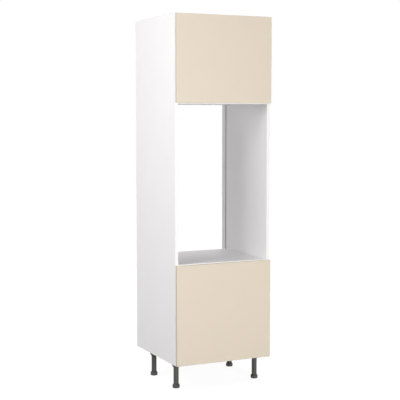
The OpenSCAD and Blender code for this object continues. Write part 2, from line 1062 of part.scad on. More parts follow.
module leg_screws() {
    head_h = 2.4;
    color(zinc)
        leg_screw_places()
            translate([0, 0, carcass_bottom - plate_t])
                rotate([180, 0, 0])
                    screw(leg_screw_d, leg_screw_l, leg_screw_d * 1.8, head_h);
}

left_side_panel();
right_side_panel();
top_panel();
bottom_panel();
lower_oven_shelf();
upper_oven_shelf();
lower_back_panel();
upper_back_panel();
lower_loose_shelf();
upper_loose_shelf();
carcass_edging();
shelf_pins();
cam_locks();
cam_bolts();
wood_dowels();
back_panel_screws();
wall_brackets();
wall_bracket_screws();
lower_door();
lower_door_edging();
lower_door_bumpers();
upper_door();
upper_door_edging();
upper_door_bumpers();
lower_hinge_cups();
lower_cup_screws();
lower_cup_pins();
upper_hinge_cups();
upper_cup_screws();
upper_cup_pins();
lower_hinge_levers();
upper_hinge_levers();
hinge_arms();
hinge_arm_pins();
hinge_arm_screws();
hinge_mounting_plates();
mounting_plate_screws();
front_left_leg_socket();
front_right_leg_socket();
rear_left_leg_socket();
rear_right_leg_socket();
front_left_leg_tube();
front_right_leg_tube();
rear_left_leg_tube();
rear_right_leg_tube();
front_left_foot();
front_right_foot();
rear_left_foot();
rear_right_foot();
leg_screws();
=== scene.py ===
import json
import math
from functools import partial

import bmesh
import bpy
import numpy as np
from mathutils import Euler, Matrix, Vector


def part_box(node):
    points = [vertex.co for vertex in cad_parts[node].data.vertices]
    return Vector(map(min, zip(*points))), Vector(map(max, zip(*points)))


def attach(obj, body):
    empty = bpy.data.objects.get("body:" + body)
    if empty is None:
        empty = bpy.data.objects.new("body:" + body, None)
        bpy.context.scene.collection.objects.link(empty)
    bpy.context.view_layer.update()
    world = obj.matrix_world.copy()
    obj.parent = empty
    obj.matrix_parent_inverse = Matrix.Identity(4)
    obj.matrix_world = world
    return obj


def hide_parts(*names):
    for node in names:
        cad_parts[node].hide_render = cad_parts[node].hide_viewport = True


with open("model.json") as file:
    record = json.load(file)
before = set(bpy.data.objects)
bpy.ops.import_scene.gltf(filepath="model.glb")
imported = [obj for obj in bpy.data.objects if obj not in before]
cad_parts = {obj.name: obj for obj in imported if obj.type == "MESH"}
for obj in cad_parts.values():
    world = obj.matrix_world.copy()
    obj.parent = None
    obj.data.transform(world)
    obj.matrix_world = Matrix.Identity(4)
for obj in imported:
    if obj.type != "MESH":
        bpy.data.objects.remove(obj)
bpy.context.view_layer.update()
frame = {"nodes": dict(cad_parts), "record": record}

cadNodes = frame["nodes"]
behaviour = frame["record"]["behaviour"]
bodyOfNode = {node: body for body, members in behaviour["bodies"].items() for node in members}
millimetre = 0.001
print("frame loaded:", len(cadNodes), "nodes")


def boxMm(node):
    # lowest and highest corner of a CAD node, in millimetres
    return [np.round(np.array(corner) / millimetre, 3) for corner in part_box(node)]


# Planes of the unit in millimetres, from its own boards: x across, y from the doors to the rear, z up
sideLow, sideHigh = boxMm("right_side_panel")
doorLow, doorHigh = boxMm("lower_door")
backLow, backHigh = boxMm("lower_back_panel")
unit = {
    "outerX": sideHigh[0], "innerX": sideLow[0], "board": sideHigh[0] - sideLow[0],
    "low": sideLow[2], "high": sideHigh[2], "doorFront": doorLow[1], "doorBack": doorHigh[1],
    "backMiddle": (backLow[1] + backHigh[1]) / 2, "backThick": backHigh[1] - backLow[1],
}
fixedBoards = ("bottom_panel", "lower_oven_shelf", "upper_oven_shelf", "top_panel")
looseShelves = ("lower_loose_shelf", "upper_loose_shelf")
uprightBoards = ("left_side_panel", "right_side_panel", "lower_back_panel", "upper_back_panel")
doors = ("lower_door", "upper_door")


# Shader building

def linearColour(hexText):
    # sRGB hex to the linear colour that shaders want
    channels = [int(hexText[start:start + 2], 16) / 255 for start in (1, 3, 5)]
    return (*(c / 12.92 if c <= 0.04045 else ((c + 0.055) / 1.055) ** 2.4 for c in channels), 1.0)


def addNode(tree, kind, settings):
    # sockets among the settings are linked, and other values are set on the node or on its inputs
    node = tree.nodes.new("ShaderNode" + kind)
    for key, value in settings.items():
        if isinstance(value, bpy.types.NodeSocket):
            tree.links.new(value, node.inputs[key])
        elif isinstance(key, str) and hasattr(node, key):
            setattr(node, key, value)
        else:
            node.inputs[key].default_value = value
    return node


def startMaterial(name):
    material = bpy.data.materials.new(name)
    material.use_nodes = True
    material.node_tree.nodes.clear()
    add = partial(addNode, material.node_tree)
    return material, add, add("TexCoord", {}).outputs["Object"]


def finishMaterial(add, settings):
    add("OutputMaterial", {"Surface": add("BsdfPrincipled", settings).outputs[0]})


def perMetre(sizeMm):
    # a texture's scale when its features are sizeMm across
    return 1 / (sizeMm * millimetre)


def drawnOut(stretch):
    # a mapping's scale that makes a pattern longer along each axis where stretch is over 1
    return [1 / times for times in stretch]


noiseRoughness = 0.55

# A Mix node has its share at 0. It takes colours at 6 and 7 and gives its colour at 2, and takes
# numbers at 2 and 3 and gives its number at 0.

# Melamine-faced chipboard: a printed paper pressed on with resin, so a hard satin skin with a
# pearl of about 2 mm, over three layers of glued chips that show on every sawn edge, groove and hole.
melamine = {
    "white": {"tones": ("#F2F0F1", "#F6F4F5"), "roughness": 0.46, "pearlMm": 1.8, "pearlDepthMm": 0.022,
              "patchMm": 140},
    "cream": {"tones": ("#E3D6C4", "#E5D8C6"), "roughness": 0.44, "pearlMm": 1.4, "pearlDepthMm": 0.014,
              "patchMm": 110},
    "skinMm": 0.1, "ironedStripMm": 0.4, "sheenSpread": 0.08,
}
sawnChips = {
    "gapTone": "#9A8266", "lowTone": "#B39B7C", "fibreTone": "#C2A988", "paleTone": "#DCCAAC",
    "roughness": 0.85, "depthMm": 0.1,
    "coarseMm": 3.2, "fineMm": 1.1, "coarseShare": 0.31,   # of the thickness, either way from the middle
    "flatness": 2.6, "wanderMm": 2.0, "bendMm": 2.6, "fibreMm": 0.5, "fibreShare": 0.7,
    "gapFrom": 0.62, "gapShare": 0.45,
    "grooveShadeTone": "#2E251D", "grooveShadeShare": 0.72, "grooveShadeMarginMm": 1.0,   # painted shade: the groove that holds the back panels is darkened to stand for its shade
}


def chipPattern(add, place, across, board):
    # colour and height of the sawn core: chips lie flat in the board, coarse in its middle layer
    lowTone, paleTone = linearColour(sawnChips["lowTone"]), linearColour(sawnChips["paleTone"])
    fibreTone, gapTone = linearColour(sawnChips["fibreTone"]), linearColour(sawnChips["gapTone"])
    stir = add("TexNoise", {"Scale": perMetre(sawnChips["wanderMm"]), "Detail": 2.0, "Vector": place})
    wander = add("VectorMath", {"operation": "SUBTRACT", 0: stir.outputs["Color"], 1: (0.5, 0.5, 0.5)})
    bent = add("VectorMath", {"operation": "MULTIPLY_ADD", 0: wander.outputs[0],
                              1: (sawnChips["bendMm"] * millimetre,) * 3, 2: place})
    squash = [sawnChips["flatness"] if axis == board["axis"] else 1.0 for axis in range(3)]
    flat = add("Mapping", {"Scale": squash, "Vector": bent.outputs[0]}).outputs[0]
    coarse = add("TexVoronoi", {"Scale": perMetre(sawnChips["coarseMm"]), "Vector": flat})
    fine = add("TexVoronoi", {"Scale": perMetre(sawnChips["fineMm"]), "Vector": flat})
    inCoarse = add("Math", {"operation": "COMPARE", 0: across, 1: board["middle"] * millimetre,
                            2: board["thick"] * sawnChips["coarseShare"] * millimetre})
    cells = add("Mix", {"data_type": "RGBA", 0: inCoarse.outputs[0], 6: fine.outputs["Color"],
                        7: coarse.outputs["Color"]})
    shade = add("SeparateColor", {0: cells.outputs[2]})
    chips = add("Mix", {"data_type": "RGBA", 0: shade.outputs[0], 6: lowTone, 7: paleTone})
    fibres = add("TexNoise", {"Scale": perMetre(sawnChips["fibreMm"]), "Detail": 3.0,
                              "Roughness": noiseRoughness, "Vector": flat})
    fibreMask = add("Math", {"operation": "MULTIPLY", 0: fibres.outputs[0], 1: sawnChips["fibreShare"]})
    fibrous = add("Mix", {"data_type": "RGBA", 0: fibreMask.outputs[0], 6: chips.outputs[2], 7: fibreTone})
    between = add("Math", {"operation": "GREATER_THAN", 0: coarse.outputs["Distance"],
                           1: sawnChips["gapFrom"]})
    gaps = add("Math", {"operation": "MULTIPLY", 0: between.outputs[0], 1: sawnChips["gapShare"]})
    raw = add("Mix", {"data_type": "RGBA", 0: gaps.outputs[0], 6: fibrous.outputs[2], 7: gapTone})
    return raw.outputs[2], coarse.outputs["Distance"]


def paintedGrooveShade(add, backward, raw):
    # the raw colour with painted shade: darker where the side panels hold the back panels in a groove,
    # standing for the groove's shade
    half = unit["backThick"] / 2 + sawnChips["grooveShadeMarginMm"]
    inShadedGroove = add("Math", {"operation": "COMPARE", 0: backward, 1: unit["backMiddle"] * millimetre,
                            2: half * millimetre})
    share = add("Math", {"operation": "MULTIPLY", 0: inShadedGroove.outputs[0], 1: sawnChips["grooveShadeShare"]})
    return add("Mix", {"data_type": "RGBA", 0: share.outputs[0], 6: raw,
                       7: linearColour(sawnChips["grooveShadeTone"])}).outputs[2]


def boardMaterial(name, board, paper):
    # paper on the two faces of a board and sawn chips between them, told apart by the place across it
    material, add, place = startMaterial(name)
    places = add("SeparateXYZ", {0: place}).outputs
    across, backward = places[board["axis"]], places[1]
    inCore = add("Math", {"operation": "COMPARE", 0: across, 1: board["middle"] * millimetre,
                          2: (board["thick"] / 2 - melamine["skinMm"]) * millimetre}).outputs[0]
    if board["ironedFront"]:               # a thin white strip is ironed on the front edge
        stripBack = (board["front"] + melamine["ironedStripMm"]) * millimetre
        behind = add("Math", {"operation": "GREATER_THAN", 0: backward, 1: stripBack}).outputs[0]
        inCore = add("Math", {"operation": "MULTIPLY", 0: inCore, 1: behind}).outputs[0]
    raw, rawHeight = chipPattern(add, place, across, board)
    if board["axis"] == 0:
        # painted shade darkens the side panels' groove for the back panels
        raw = paintedGrooveShade(add, backward, raw)
    patches = add("TexNoise", {"Scale": perMetre(paper["patchMm"]), "Detail": 2.0,
                               "Roughness": noiseRoughness, "Vector": place}).outputs[0]
    pearl = add("TexNoise", {"Scale": perMetre(paper["pearlMm"]), "Detail": 2.0,
                             "Roughness": noiseRoughness, "Vector": place}).outputs[0]
    darkTone, lightTone = map(linearColour, paper["tones"])
    skin = add("Mix", {"data_type": "RGBA", 0: patches, 6: darkTone, 7: lightTone}).outputs[2]
    colour = add("Mix", {"data_type": "RGBA", 0: inCore, 6: skin, 7: raw}).outputs[2]
    chipHeight = add("Math", {"operation": "MULTIPLY", 0: rawHeight,
                              1: sawnChips["depthMm"] / paper["pearlDepthMm"]}).outputs[0]
    height = add("Mix", {"data_type": "FLOAT", 0: inCore, 2: pearl, 3: chipHeight}).outputs[0]
    bump = add("Bump", {"Strength": 1.0, "Distance": paper["pearlDepthMm"] * millimetre,
                        "Height": height}).outputs[0]
    halfSpread = melamine["sheenSpread"] / 2
    evenSheen = add("MapRange", {"Value": inCore, "To Min": paper["roughness"] - halfSpread,
                                 "To Max": sawnChips["roughness"] - halfSpread}).outputs[0]
    sheen = add("Math", {"operation": "MULTIPLY_ADD", 0: patches, 1: melamine["sheenSpread"],
                         2: evenSheen}).outputs[0]
    finishMaterial(add, {"IOR": 1.5, "Specular IOR Level": 0.3, "Base Color": colour, "Roughness": sheen,
                         "Normal": bump})
    return material


# ABS edging: extruded strip glued on and scraped flush, so it is even in colour, a little duller
# than the board's face, with faint scraper lines along it.
absEdging = {
    "white": {"tones": ("#F7F6F6", "#FBFAFA"), "roughness": (0.41, 0.51)},
    "cream": {"tones": ("#D0C5B3", "#D4C9B8"), "roughness": (0.45, 0.55)},
    "lineMm": 0.6, "lineStretch": (60, 1, 60), "depthMm": 0.006, "patchMm": 45,
}


def edgingMaterial(name, strip):
    material, add, place = startMaterial(name)
    along = add("Mapping", {"Scale": drawnOut(absEdging["lineStretch"]), "Vector": place}).outputs[0]
    lines = add("TexNoise", {"Scale": perMetre(absEdging["lineMm"]), "Detail": 1.0,
                             "Roughness": noiseRoughness, "Vector": along}).outputs[0]
    patches = add("TexNoise", {"Scale": perMetre(absEdging["patchMm"]), "Detail": 2.0,
                               "Roughness": noiseRoughness, "Vector": place}).outputs[0]
    darkTone, lightTone = map(linearColour, strip["tones"])
    colour = add("Mix", {"data_type": "RGBA", 0: patches, 6: darkTone, 7: lightTone}).outputs[2]
    smooth, dull = strip["roughness"]
    sheen = add("MapRange", {"Value": lines, "To Min": smooth, "To Max": dull}).outputs[0]
    bump = add("Bump", {"Strength": 1.0, "Distance": absEdging["depthMm"] * millimetre,
                        "Height": lines}).outputs[0]
    finishMaterial(add, {"IOR": 1.52, "Specular IOR Level": 0.45, "Base Color": colour, "Roughness": sheen,
                         "Normal": bump})
    return material


# Polypropylene legs: injection moulded with a spark-eroded texture, so a soft sheen with a broad
# highlight, and faint streaks where the melt ran up the leg.
legPlastic = {"tones": ("#3B3B3A", "#474746"), "roughness": (0.40, 0.52), "textureMm": 0.9, "depthMm": 0.03,
              "flowMm": 18, "flowStretch": (1, 1, 3)}


def plasticMaterial(name, plastic):
    material, add, place = startMaterial(name)
    texture = add("TexNoise", {"Scale": perMetre(plastic["textureMm"]), "Detail": 2.0,
                               "Roughness": noiseRoughness, "Vector": place}).outputs[0]
    upward = add("Mapping", {"Scale": drawnOut(plastic["flowStretch"]), "Vector": place}).outputs[0]
    flow = add("TexNoise", {"Scale": perMetre(plastic["flowMm"]), "Detail": 2.0,
                            "Roughness": noiseRoughness, "Vector": upward}).outputs[0]
    darkTone, lightTone = map(linearColour, plastic["tones"])
    colour = add("Mix", {"data_type": "RGBA", 0: flow, 6: darkTone, 7: lightTone}).outputs[2]
    smooth, dull = plastic["roughness"]
    sheen = add("MapRange", {"Value": flow, "To Min": smooth, "To Max": dull}).outputs[0]
    bump = add("Bump", {"Strength": 1.0, "Distance": plastic["depthMm"] * millimetre,
                        "Height": texture}).outputs[0]
    finishMaterial(add, {"IOR": 1.49, "Specular IOR Level": 0.5, "Base Color": colour, "Roughness": sheen,
                         "Normal": bump})
    return material


# Plated steel and die-cast zinc: bright nickel over rolled sheet, blue-white zinc on screws and
# brackets with a faint spangle, and the sandy skin that a casting keeps.
brightNickel = {"tones": ("#C6C2BA", "#D6D2CB"), "roughness": (0.20, 0.32), "spangleMm": 1.2,
                "grainMm": 0.72, "depthMm": 0.010}
blueZinc = {"tones": ("#AEB3B8", "#C6CACC"), "roughness": (0.28, 0.44), "spangleMm": 2.5,
            "grainMm": 1.5, "depthMm": 0.012}
castZinc = {"tones": ("#9C9D9C", "#B1B2B1"), "roughness": (0.45, 0.60), "spangleMm": 0.7,
            "grainMm": 0.42, "depthMm": 0.040}


def metalMaterial(name, metal):
    material, add, place = startMaterial(name)
    spangle = add("TexVoronoi", {"Scale": perMetre(metal["spangleMm"]), "Vector": place})
    shade = add("SeparateColor", {0: spangle.outputs["Color"]}).outputs[0]
    grain = add("TexNoise", {"Scale": perMetre(metal["grainMm"]), "Detail": 3.0,
                             "Roughness": noiseRoughness, "Vector": place}).outputs[0]
    darkTone, lightTone = map(linearColour, metal["tones"])
    colour = add("Mix", {"data_type": "RGBA", 0: shade, 6: darkTone, 7: lightTone}).outputs[2]
    smooth, dull = metal["roughness"]
    sheen = add("MapRange", {"Value": grain, "To Min": smooth, "To Max": dull}).outputs[0]
    bump = add("Bump", {"Strength": 1.0, "Distance": metal["depthMm"] * millimetre,
                        "Height": grain}).outputs[0]
    finishMaterial(add, {"Metallic": 1.0, "Base Color": colour, "Roughness": sheen, "Normal": bump})
    return material


# Beech dowel: pale pinkish wood with short darker flecks along the grain, which runs along X.
beechWood = {"tones": ("#C9A077", "#DDB98F"), "fleckTone": "#A87B52", "roughness": 0.62,
             "grainMm": 0.9, "grainStretch": (14, 1, 1), "grainDepthMm": 0.05,
             "fleckMm": 0.5, "fleckStretch": (5, 1, 1), "fleckFrom": 0.63, "fleckShare": 0.55}


def beechMaterial(name):
    material, add, place = startMaterial(name)
    grainPlace = add("Mapping", {"Scale": drawnOut(beechWood["grainStretch"]), "Vector": place}).outputs[0]
    grain = add("TexNoise", {"Scale": perMetre(beechWood["grainMm"]), "Detail": 4.0,
                             "Roughness": noiseRoughness, "Vector": grainPlace}).outputs[0]
    fleckPlace = add("Mapping", {"Scale": drawnOut(beechWood["fleckStretch"]), "Vector": place}).outputs[0]
    flecks = add("TexNoise", {"Scale": perMetre(beechWood["fleckMm"]), "Detail": 1.0,
                              "Roughness": noiseRoughness, "Vector": fleckPlace}).outputs[0]
    inFleck = add("Math", {"operation": "GREATER_THAN", 0: flecks, 1: beechWood["fleckFrom"]}).outputs[0]
    share = add("Math", {"operation": "MULTIPLY", 0: inFleck, 1: beechWood["fleckShare"]}).outputs[0]
    darkTone, lightTone = map(linearColour, beechWood["tones"])
    fleckTone = linearColour(beechWood["fleckTone"])
    wood = add("Mix", {"data_type": "RGBA", 0: grain, 6: darkTone, 7: lightTone}).outputs[2]
    colour = add("Mix", {"data_type": "RGBA", 0: share, 6: wood, 7: fleckTone}).outputs[2]
    bump = add("Bump", {"Strength": 1.0, "Distance": beechWood["grainDepthMm"] * millimetre,
                        "Height": grain}).outputs[0]
    finishMaterial(add, {"IOR": 1.45, "Roughness": beechWood["roughness"], "Base Color": colour,
                         "Normal": bump})
    return material


# Clear polyurethane pad: cast as a drop, so glassy and slightly milky.
clearDrop = {"tones": ("#E3E7E7", "#F0F3F2"), "cloudMm": 3, "roughness": 0.18, "clearness": 0.65}


def padMaterial(name):
    material, add, place = startMaterial(name)
    cloud = add("TexNoise", {"Scale": perMetre(clearDrop["cloudMm"]), "Detail": 2.0,
                             "Roughness": noiseRoughness, "Vector": place}).outputs[0]
    milky, clear = map(linearColour, clearDrop["tones"])
    colour = add("Mix", {"data_type": "RGBA", 0: cloud, 6: milky, 7: clear}).outputs[2]
    finishMaterial(add, {"IOR": 1.49, "Transmission Weight": clearDrop["clearness"],
                         "Roughness": clearDrop["roughness"], "Base Color": colour})
    return material


whiteEdging = edgingMaterial("white_abs_edging", absEdging["white"])
creamEdging = edgingMaterial("cream_abs_edging", absEdging["cream"])
legMaterial = plasticMaterial("moulded_polypropylene", legPlastic)
nickelSteel = metalMaterial("nickel_plated_steel", brightNickel)
zincSteel = metalMaterial("zinc_plated_steel", blueZinc)
castMetal = metalMaterial("die_cast_zinc", castZinc)
beech = beechMaterial("beech")
clearPad = padMaterial("clear_polyurethane")
print("materials ready")


# Mesh building; points are in millimetres until they go into a mesh

mending = {"weldM": 2e-6, "sliverM": 1e-6, "flatDegrees": 0.6, "normalWeight": 80}


def gridFaces(rows, columns, closeRows, closeColumns):
    # quads of a grid of points, as indices worked out for the whole grid at once
    row = np.arange(rows if closeRows else rows - 1)[:, None]
    column = np.arange(columns if closeColumns else columns - 1)[None, :]
    nextRow, nextColumn = (row + 1) % rows, (column + 1) % columns
    corners = [row * columns + column, row * columns + nextColumn,
               nextRow * columns + nextColumn, nextRow * columns + column]
    return np.stack(corners, -1).reshape(-1, 4)


def joinGrids(grids):
    # one list of points and one of faces from several (points, closeRows, closeColumns)
    points, faces, start = [], [], 0
    for grid, closeRows, closeColumns in grids:
        rows, columns = grid.shape[:2]
        faces.append(gridFaces(rows, columns, closeRows, closeColumns) + start)
        points.append(grid.reshape(-1, 3))
        start += rows * columns
    return np.concatenate(points) * millimetre, np.concatenate(faces)


def mendMesh(mesh, sharpDegrees, flatten=False):
    work = bmesh.new()
    work.from_mesh(mesh)
    bmesh.ops.remove_doubles(work, verts=work.verts, dist=mending["weldM"])
    bmesh.ops.dissolve_degenerate(work, edges=work.edges, dist=mending["sliverM"])
    if flatten:
        bmesh.ops.dissolve_limit(work, angle_limit=math.radians(mending["flatDegrees"]), verts=work.verts,
                                 edges=work.edges)
    bmesh.ops.recalc_face_normals(work, faces=work.faces)
    work.to_mesh(mesh)
    work.free()
    mesh.shade_smooth()
    mesh.set_sharp_from_angle(angle=math.radians(sharpDegrees))


def placePiece(name, mesh, node, material):
    mesh.materials.clear()
    mesh.materials.append(material)
    piece = bpy.data.objects.new(name, mesh)
    bpy.context.scene.collection.objects.link(piece)
    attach(piece, bodyOfNode[node])
    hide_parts(node)
    return piece


def gridPiece(name, grids, node, material, sharpDegrees=35):
    vertices, faces = joinGrids(grids)
    mesh = bpy.data.meshes.new(name)
    mesh.from_pydata(vertices.tolist(), [], faces.tolist())
    mendMesh(mesh, sharpDegrees)
    return placePiece(name, mesh, node, material)


def weighNormals(piece):
    weigh = piece.modifiers.new("weigh", "WEIGHTED_NORMAL")
    weigh.keep_sharp = True
    weigh.weight = mending["normalWeight"]


easing = {"segments": 2, "fromDegrees": 32, "sharpDegrees": 30}


def easedCopy(name, node, material, easeMm):
    # the CAD solid again with its arrises eased, as tumbling, plating or moulding leaves them
    mesh = cadNodes[node].data.copy()
    mesh.name = name
    mendMesh(mesh, easing["sharpDegrees"], flatten=True)
    piece = placePiece(name, mesh, node, material)
    ease = piece.modifiers.new("ease", "BEVEL")
    ease.width = easeMm * millimetre
    ease.segments = easing["segments"]
    ease.limit_method = "ANGLE"
    ease.angle_limit = math.radians(easing["fromDegrees"])
    ease.use_clamp_overlap = False         # one short edge would clamp every arris to nothing
    ease.harden_normals = True


def revolved(profile, centre, sides, ripple=None):
    # profile of (radius, height) turned about Z through centre; ripple(angle, height) takes away radius
    angle = np.linspace(0, 2 * math.pi, sides, endpoint=False)[None, :]
    radius, height = profile[:, 0:1], profile[:, 1:2]
    if ripple is not None:
        radius = np.maximum(radius - ripple(angle, height), 0.0)
    x = centre[0] + radius * np.cos(angle)
    y = centre[1] + radius * np.sin(angle)
    return np.stack([x, y, height + 0 * angle], -1)


def arc(centreR, centreZ, radius, fromDegrees, toDegrees, steps):
    # points round a circle, from one angle to the other
    turn = np.radians(np.linspace(fromDegrees, toDegrees, steps))
    return np.stack([centreR + radius * np.cos(turn), centreZ + radius * np.sin(turn)], -1)


def runs(*parts):
    # one outline from points and rows of points
    return np.concatenate([np.asarray(part, float).reshape(-1, 2) for part in parts])


# Edging strips: a flat section with both outer arrises rounded, carried along each board edge

edging = {"thick": sideLow[1] - boxMm("carcass_edging")[0][1], "arris": 0.8, "steps": 5}


def stripSection(width):
    # (across, out) points of a strip from 0 to its width and 0 to its thickness, outer corners rounded
    r, thick = edging["arris"], edging["thick"]
    return runs((0, 0), (width, 0), arc(width - r, thick - r, r, 0, 90, edging["steps"]),
                arc(r, thick - r, r, 90, 180, edging["steps"]))


def straightStrip(alongAxis, start, end, acrossAxis, lowAcross):
    # the section carried from start to end, with its outside towards -Y
    section = stripSection(unit["board"])
    points = np.zeros((2, len(section), 3))
    points[:, :, alongAxis] = np.array([[start], [end]])
    points[:, :, acrossAxis] = lowAcross + section[:, 0]
    points[:, :, 1] = sideLow[1] - section[:, 1]
    return points


def capped(points):
    # end caps: the section's middle point repeated, before the first ring and after the last
    first, last = (np.repeat(ring.mean(axis=1, keepdims=True), points.shape[1], axis=1)
                   for ring in (points[:1], points[-1:]))
    return np.concatenate([first, points, last])


strips = [straightStrip(2, unit["low"], unit["high"], 0, lowX) for lowX in (-unit["outerX"], unit["innerX"])]
strips += [straightStrip(0, -unit["innerX"], unit["innerX"], 2, boxMm(node)[0][2]) for node in fixedBoards]
carcassGrids = [(capped(strip), False, True) for strip in strips]
weighNormals(gridPiece("carcass_edging_strips", carcassGrids, "carcass_edging", whiteEdging))


def doorRing(node):
    # the strip's section carried round the door's four edges and mitred at its corners
    low, high = boxMm(node)
    section = stripSection(unit["doorBack"] - unit["doorFront"])
    depth = unit["doorFront"] + section[:, 0]
    rings = []
    for x, z, outX, outZ in ((low[0], low[2], -1, -1), (high[0], low[2], 1, -1),
                             (high[0], high[2], 1, 1), (low[0], high[2], -1, 1)):
        rings.append(np.stack([x + outX * section[:, 1], depth, z + outZ * section[:, 1]], -1))
    return np.array(rings)


for door in doors:
    ring = [(doorRing(door), True, True)]
    weighNormals(gridPiece(door + "_edging_ring", ring, door + "_edging", creamEdging))
print("edging made")

# Boards and doors keep their CAD solids, whose holes and grooves are exact

for node in fixedBoards + looseShelves + uprightBoards + doors:
    low, high = boxMm(node)
    axis = int(np.argmin(high - low))      # a board is thinnest across its faces
    board = {"axis": axis, "middle": (low[axis] + high[axis]) / 2, "thick": high[axis] - low[axis],
             "front": low[1], "ironedFront": node in looseShelves}
    finish = boardMaterial(node + "_board", board, melamine["cream" if node in doors else "white"])
    cadNodes[node].data.materials.clear()
    cadNodes[node].data.materials.append(finish)
print("boards finished")

# Legs

tubeLow, tubeHigh = boxMm("front_left_leg_tube")
leg = {
    "sides": 96, "tubeR": 15.0, "tubeBoreR": 12.5, "tubeLow": tubeLow[2], "spigotTop": tubeHigh[2],
    "tubeTop": boxMm("front_left_leg_socket")[0][2], "spigotR": 14.5, "collarR": 11.05, "collarTop": 39.3,
    "mouldRound": 0.8, "mouldSteps": 5, "socketEase": 0.25, "rimSteps": 9,
    "footR": 21.0, "footH": 24.0, "footRound": 5.0, "shoulder": 6.0, "neckR": 16.0, "wallRows": 16,
    "wallEnds": (0.5, -0.8), "slopeEase": ((-0.15, -0.3), (-0.6, 0.3)),
    "neckEase": ((0.8, -0.6), (0.3, -0.15), (-0.3, 0.0)),
    "grips": 20, "gripDepth": 0.85, "gripLow": 6.0, "gripHigh": 17.0, "gripFade": 2.0,
    "stemR": 11.0, "stemTop": boxMm("front_left_foot")[1][2], "stemChamfer": 1.0,
    "pitch": 2.0, "threadDepth": 0.5, "rowsPerTurn": 6,
}


def tubeProfile():
    # up the outside to the thinner spigot in the socket, then down the bore and through its collar
    r, steps = leg["mouldRound"], leg["mouldSteps"]
    return runs(arc(leg["tubeR"] - r, leg["tubeLow"] + r, r, -90, 0, steps),
                arc(leg["tubeR"] - r, leg["tubeTop"] - r, r, 0, 90, steps),
                (leg["spigotR"], leg["tubeTop"]), (leg["spigotR"], leg["spigotTop"]),
                (leg["tubeBoreR"], leg["spigotTop"]), (leg["tubeBoreR"], leg["collarTop"]),
                (leg["collarR"], leg["collarTop"]), (leg["collarR"], leg["tubeLow"]))


def footRipple(angle, height):
    # shallow scallops round the foot that fade at their ends, and a thread round its stem
    rise = (np.clip((height - leg["gripLow"]) / leg["gripFade"], 0, 1)
            * np.clip((leg["gripHigh"] - height) / leg["gripFade"], 0, 1))
    wave = 0.5 + 0.5 * np.cos(leg["grips"] * angle)
    thread = np.abs(((height / leg["pitch"] - angle / (2 * math.pi)) % 1.0) - 0.5) * 2
    onStem = ((height > leg["footH"] + leg["stemChamfer"])
              & (height < leg["stemTop"] - leg["stemChamfer"]))
    return leg["gripDepth"] * np.sqrt(rise) * wave ** 3 + np.where(onStem, leg["threadDepth"] * thread, 0.0)


def footProfile():
    # rounded rim, gripped wall, sloping shoulder, threaded stem
    r, top, stemEnd = leg["footR"], leg["footH"], leg["stemTop"] - leg["stemChamfer"]
    rim = arc(r - leg["footRound"], leg["footRound"], leg["footRound"], -90, 0, leg["rimSteps"])
    wallLow, wallHigh = np.array([leg["footRound"], top - leg["shoulder"]]) + leg["wallEnds"]
    wall = np.stack([np.full(leg["wallRows"], r), np.linspace(wallLow, wallHigh, leg["wallRows"])], -1)
    slope = runs(np.array(leg["slopeEase"]) + (r, top - leg["shoulder"]),
                 np.array(leg["neckEase"]) + (leg["neckR"], top))
    rows = int((stemEnd - top) / leg["pitch"] * leg["rowsPerTurn"])
    stem = np.stack([np.full(rows, leg["stemR"]), np.linspace(top, stemEnd, rows)], -1)
    tip = ((leg["stemR"] - leg["stemChamfer"], leg["stemTop"]), (0, leg["stemTop"]))
    return runs((0, 0), rim, wall, slope, stem, tip)


for joint in behaviour["joints"]:
    if joint["child"].endswith("_foot"):
        where = joint["child"].removesuffix("_foot")
        centre = np.round(np.array(joint["pos_m"][:2]) / millimetre, 3)
        tube = [(revolved(tubeProfile(), centre, leg["sides"]), True, True)]
        foot = [(revolved(footProfile(), centre, leg["sides"], footRipple), False, True)]
        weighNormals(gridPiece(where + "_tube_wall", tube, where + "_leg_tube", legMaterial))
        gridPiece(where + "_ribbed_foot", foot, where + "_foot", legMaterial, sharpDegrees=40)
        easedCopy(where + "_socket_shell", where + "_leg_socket", legMaterial, leg["socketEase"])
print("legs made")

# Soft pads on the backs of the doors: low domes, near the two corners away from the hinges

pad = {"radius": 4.0, "height": 1.6, "wall": 0.35, "rings": 9, "sides": 40, "inset": 7.5, "endInset": 30.0}


def padDome(x, z):
    # a cap of a sphere on a short straight wall, standing towards +Y
    rise = pad["height"] - pad["wall"]
    sphere = (pad["radius"] ** 2 + rise ** 2) / (2 * rise)
    across = np.linspace(1, 0, pad["rings"]) * pad["radius"]
    cap = np.stack([across, pad["wall"] + np.sqrt(sphere ** 2 - across ** 2) - (sphere - rise)], -1)
    turned = revolved(runs((0, 0), (pad["radius"], 0), cap), (0, 0), pad["sides"])
    return np.stack([x + turned[:, :, 0], unit["doorBack"] + turned[:, :, 2], z + turned[:, :, 1]], -1)


for door in doors:
    low, high = boxMm(door + "_edging")
    domes = [(padDome(low[0] + pad["inset"], z), False, True)
             for z in (low[2] + pad["endInset"], high[2] - pad["endInset"])]
    gridPiece(door.removesuffix("_door") + "_pad_domes", domes, door + "_bumpers", clearPad, sharpDegrees=50)

# Dowels: fluted along their length, with chamfered ends

dowel = {"radius": 4.0, "length": 30.0, "inSide": 10.0, "chamfer": 0.8, "flutes": 16, "fluteDepth": 0.28,
         "rows": (-183.0, 147.6), "sides": 96}


def fluteRipple(angle, height):
    # narrow round-bottomed grooves, the same all along the dowel
    return dowel["fluteDepth"] * (0.5 - 0.5 * np.cos(dowel["flutes"] * angle)) ** 2


def flutedDowel(sign, y, z):
    # turned about Z, then laid along X with its outer end inSide deep in a side panel
    r, half, chamfer = dowel["radius"], dowel["length"] / 2, dowel["chamfer"]
    profile = runs((0, -half), (r - chamfer, -half), (r, -half + chamfer), (r, half - chamfer),
                   (r - chamfer, half), (0, half))
    turned = revolved(profile, (0, 0), dowel["sides"], fluteRipple)
    middleX = unit["innerX"] + dowel["inSide"] - half
    return np.stack([sign * (middleX + turned[:, :, 2]), y + turned[:, :, 0], z + turned[:, :, 1]], -1)


